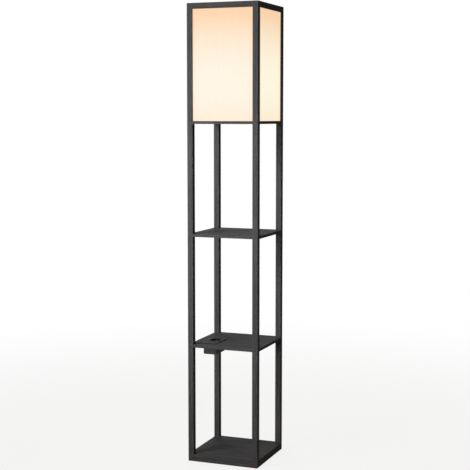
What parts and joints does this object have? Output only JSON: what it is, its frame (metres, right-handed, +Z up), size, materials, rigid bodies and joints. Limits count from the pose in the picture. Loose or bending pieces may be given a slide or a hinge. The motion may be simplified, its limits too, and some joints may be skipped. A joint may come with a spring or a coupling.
{
  "type": "shelf floor lamp",
  "caption": "Tall square floor lamp: four dark posts carry two open shelves, a thick base and a lit fabric shade box at the top; a charging module sits in the lower shelf.",
  "frame": {"origin": "centre of the footprint, on the floor", "axes": "+X to the right along the front, +Y to the back, +Z up along the posts"},
  "size_m": [0.26, 0.26, 1.6],
  "materials": {
    "post_foil": "black wood-grain foil on MDF, satin",
    "shelf_foil": "black wood-grain foil on MDF, satin",
    "base_foil": "black-brown wood-grain foil on MDF, satin",
    "shade_fabric": "off-white linen-look fabric laminated on a translucent sheet",
    "pad_foam": "black foam pad",
    "zinc_steel": "zinc-plated",
    "black_steel": "blackened",
    "dowel_beech": "plain beech, fluted",
    "holder_plastic": "black thermoplastic",
    "holder_core": "white ceramic-look thermoset",
    "brass": "plain brass",
    "bulb_opal": "opal, lit",
    "bulb_white": "white",
    "bulb_aluminium": "pressed aluminium",
    "bulb_solder": "solder",
    "bulb_glass": "black glass",
    "led_board": "white-lacquered aluminium",
    "module_plastic": "black, finely textured",
    "housing_plastic": "black, finely textured",
    "socket_plastic": "black, semi-gloss",
    "gland_rubber": "black",
    "contact_steel": "nickel-plated spring strip",
    "usb_steel": "nickel-plated",
    "usb_plastic": "white",
    "circuit_board": "green circuit board",
    "component_plastic": "black"
  },
  "bodies": {
    "root": {"back_left_post_1": "post_foil", "back_left_post_2": "post_foil", "back_left_post_3": "post_foil", "back_left_post_4": "post_foil", "back_right_post_1": "post_foil", "back_right_post_2": "post_foil", "back_right_post_3": "post_foil", "back_right_post_4": "post_foil", "back_shade_panel": "shade_fabric", "back_top_rail": "post_foil", "base_board": "base_foil", "base_bolts": "zinc_steel", "bulb_body": "bulb_white", "bulb_cap": "bulb_aluminium", "bulb_contact": "bulb_solder", "bulb_dome": "bulb_opal", "bulb_insulator": "bulb_glass", "cable_gland": "gland_rubber", "charger_board": "circuit_board", "charger_components": "component_plastic", "connecting_studs": "zinc_steel", "earth_bridge": "contact_steel", "faceplate": "module_plastic", "foot_pads": "pad_foam", "front_left_post_1": "post_foil", "front_left_post_2": "post_foil", "front_left_post_3": "post_foil", "front_left_post_4": "post_foil", "front_right_post_1": "post_foil", "front_right_post_2": "post_foil", "front_right_post_3": "post_foil", "front_right_post_4": "post_foil", "front_shade_panel": "shade_fabric", "front_top_rail": "post_foil", "holder_base": "holder_plastic", "holder_contact_spring": "brass", "holder_core": "holder_core", "holder_nipple": "zinc_steel", "holder_sleeve": "holder_plastic", "holder_terminals": "brass", "holder_thread_shell": "brass", "led_board": "led_board", "left_shade_panel": "shade_fabric", "left_top_rail": "post_foil", "lower_shelf": "shelf_foil", "module_housing": "housing_plastic", "module_screws": "black_steel", "nipple_nuts": "zinc_steel", "pin_contacts": "brass", "post_inserts": "zinc_steel", "rail_dowels": "dowel_beech", "right_shade_panel": "shade_fabric", "right_top_rail": "post_foil", "shade_board": "shelf_foil", "socket_cup": "socket_plastic", "upper_shelf": "shelf_foil", "usb_shells": "usb_steel", "usb_tongues": "usb_plastic"}
  },
  "joints": []
}
